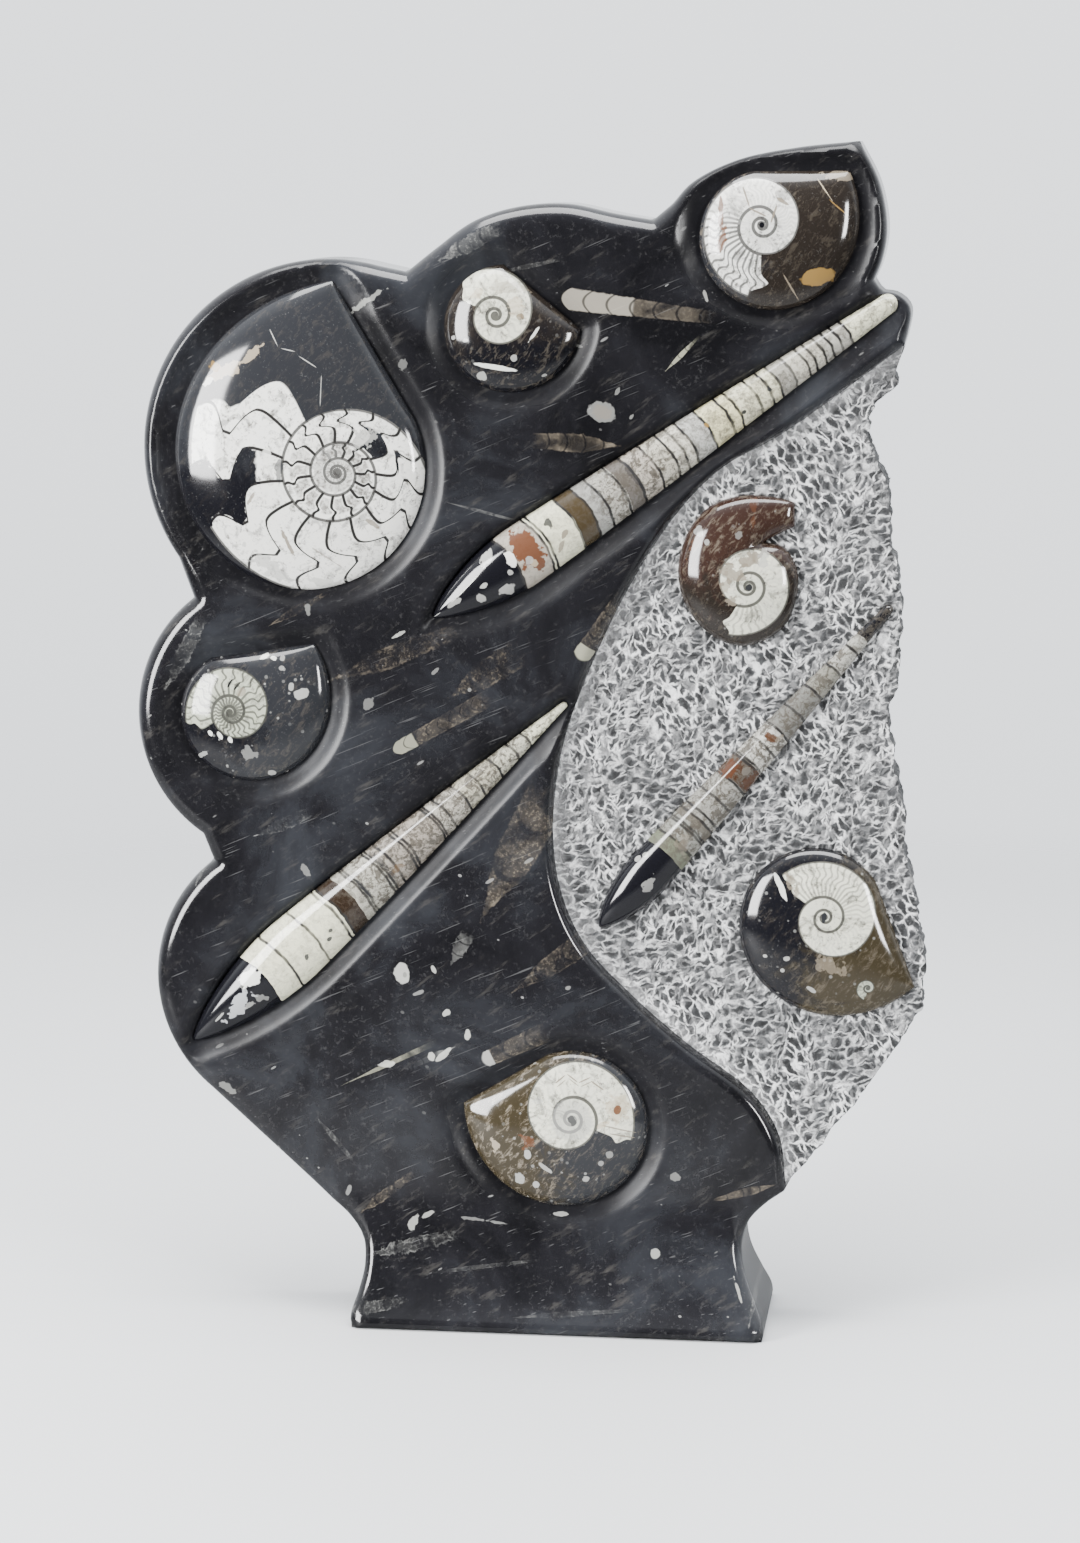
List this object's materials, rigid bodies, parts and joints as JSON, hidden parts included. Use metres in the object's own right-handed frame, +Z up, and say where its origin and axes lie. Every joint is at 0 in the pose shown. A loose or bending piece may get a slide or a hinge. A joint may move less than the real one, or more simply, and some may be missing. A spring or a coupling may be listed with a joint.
{
  "type": "carved fossil plaque of orthoceras and goniatites",
  "caption": "Standing slab of polished black limestone with a flared foot, its face set with domed orthoceras and goniatite fossils round a chiselled ground.",
  "frame": {"origin": "centre of the bounding box's bottom face, on the surface the foot stands on", "axes": "+Z up, -Y out of the carved face, +X to the right as seen from the front"},
  "size_m": [0.515, 0.114, 0.768],
  "materials": {
    "limestone": "black limestone, polished face and foot, chiselled ground, honed back",
    "orthoceras": "polished, cream and grey calcite chambers with a black tip",
    "goniatite": "polished, cream calcite coil in dark brown and black stone"
  },
  "bodies": {
    "root": {"slab": "limestone", "orthoceras_top": "orthoceras", "orthoceras_left": "orthoceras", "orthoceras_right": "orthoceras", "goniatite_large": "goniatite", "goniatite_top_middle": "goniatite", "goniatite_top_right": "goniatite", "goniatite_middle_right": "goniatite", "goniatite_left": "goniatite", "goniatite_lower_right": "goniatite", "goniatite_bottom": "goniatite"}
  },
  "joints": []
}
